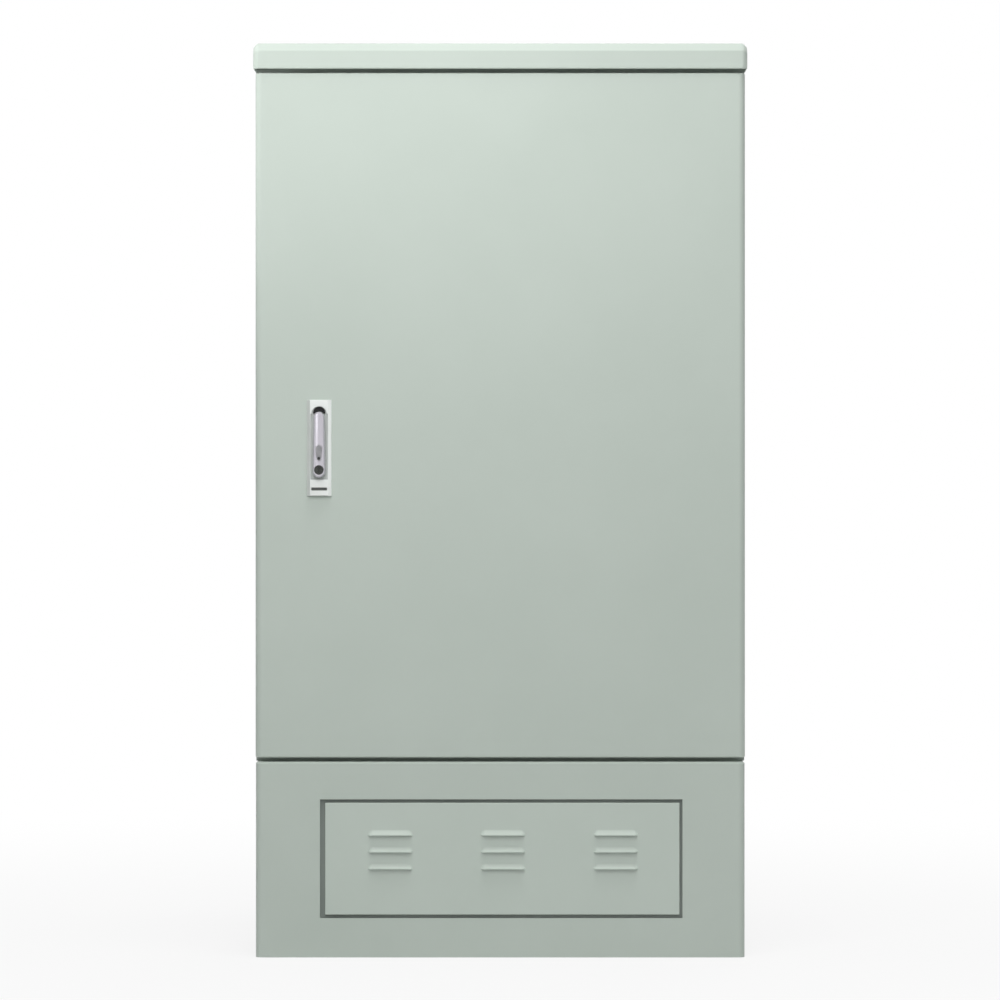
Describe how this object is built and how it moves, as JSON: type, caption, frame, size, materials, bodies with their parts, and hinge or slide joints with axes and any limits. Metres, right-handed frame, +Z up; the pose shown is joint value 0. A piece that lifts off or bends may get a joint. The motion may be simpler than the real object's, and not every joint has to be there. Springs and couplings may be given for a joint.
{
  "type": "roadside utility cabinet",
  "caption": "Painted sheet-steel street cabinet on a louvred plinth, with a full-front door on concealed hinges, a swing-handle rod lock and an equipment frame for cable terminations.",
  "frame": {"origin": "centre of the footprint on the ground, which is the centre of the anchor hole pattern in the plinth's foot", "axes": "+Z up, the front with the door faces -Y, +X towards the hinge side"},
  "size_m": [0.757, 0.3426, 1.4],
  "materials": {
    "powder_coat": "satin powder coat, pale grey-green",
    "zinc_plated_steel": "zinc plated, dull",
    "lock_casting": "silver coated casting",
    "handle_casting": "satin chromed casting",
    "lock_cylinder": "dark nickel plated",
    "module_plastic": "moulded, light grey",
    "rubber": "black foam and moulded rubber",
    "earth_metal": "bare copper alloy",
    "insulator": "moulded, red-brown"
  },
  "bodies": {
    "cabinet": {"plinth": "powder_coat", "window_frame": "powder_coat", "body_shell": "powder_coat", "floor_panel": "powder_coat", "top_panel": "powder_coat", "frame_left_stile": "powder_coat", "frame_right_stile": "powder_coat", "frame_head": "powder_coat", "frame_sill": "powder_coat", "body_bolts": "zinc_plated_steel", "roof_cap": "powder_coat", "roof_spacers": "powder_coat", "roof_bolts": "zinc_plated_steel", "hinge_brackets": "zinc_plated_steel", "left_upright": "zinc_plated_steel", "right_upright": "zinc_plated_steel", "lower_cross_rail": "zinc_plated_steel", "upper_cross_rail": "zinc_plated_steel", "termination_module_1": "module_plastic", "termination_module_2": "module_plastic", "termination_module_3": "module_plastic", "termination_module_4": "module_plastic", "module_screws": "zinc_plated_steel", "gland_plate": "zinc_plated_steel", "cable_grommets": "rubber", "gland_screws": "zinc_plated_steel", "cable_tie_rail": "zinc_plated_steel", "earth_bar": "earth_metal", "earth_insulators": "insulator", "earth_bolts": "zinc_plated_steel"},
    "door": {"door_panel": "powder_coat", "door_stiffeners": "powder_coat", "door_seal": "rubber", "hinge_lugs": "zinc_plated_steel", "hinge_pins": "zinc_plated_steel", "lock_base": "lock_casting", "lock_housing": "lock_casting", "lock_screws": "zinc_plated_steel", "rod_guides": "zinc_plated_steel"},
    "spindle": {"lock_spindle": "zinc_plated_steel", "lock_cam": "zinc_plated_steel", "cam_screw": "zinc_plated_steel"},
    "handle": {"lock_handle": "handle_casting", "handle_pin": "zinc_plated_steel", "key_barrel": "lock_cylinder"},
    "key_plug": {"key_plug": "lock_cylinder"},
    "dust_cover": {"dust_cover": "handle_casting", "cover_rivet": "zinc_plated_steel"},
    "upper_rod": {"upper_lock_rod": "zinc_plated_steel"},
    "lower_rod": {"lower_lock_rod": "zinc_plated_steel"},
    "access_panel": {"access_panel": "powder_coat", "access_panel_tabs": "zinc_plated_steel", "access_panel_clips": "zinc_plated_steel"}
  },
  "joints": [
    {"name": "door_swing", "type": "hinge", "parent": "cabinet", "child": "door", "pos_m": [0.367, -0.144, 0.8295], "axis": [0, 0, 1], "range_deg": [0, 120]},
    {"name": "handle_turn", "type": "hinge", "parent": "door", "child": "spindle", "pos_m": [-0.277, -0.1625, 0.8265], "axis": [0, -1, 0], "range_deg": [0, 90]},
    {"name": "handle_lift", "type": "hinge", "parent": "spindle", "child": "handle", "pos_m": [-0.277, -0.171, 0.8265], "axis": [-1, 0, 0], "range_deg": [0, 30]},
    {"name": "key_turn", "type": "hinge", "parent": "handle", "child": "key_plug", "pos_m": [-0.277, -0.172, 0.7461], "axis": [0, -1, 0], "range_deg": [0, 90]},
    {"name": "cover_turn", "type": "hinge", "parent": "handle", "child": "dust_cover", "pos_m": [-0.277, -0.178, 0.7637], "axis": [0, -1, 0], "range_deg": [0, 180]},
    {"name": "upper_rod_slide", "type": "slide", "parent": "door", "child": "upper_rod", "axis": [0, 0, -1], "range_m": [0, 0.0255]},
    {"name": "lower_rod_slide", "type": "slide", "parent": "door", "child": "lower_rod", "axis": [0, 0, 1], "range_m": [0, 0.0255]},
    {"name": "access_panel_pull", "type": "slide", "parent": "cabinet", "child": "access_panel", "axis": [0, -1, 0], "range_m": [0, 0.12]}
  ],
  "couplings": [
    {"joint": "upper_rod_slide", "follows": "handle_turn", "m_per_rad": 0.016206},
    {"joint": "lower_rod_slide", "follows": "handle_turn", "m_per_rad": 0.016206}
  ]
}
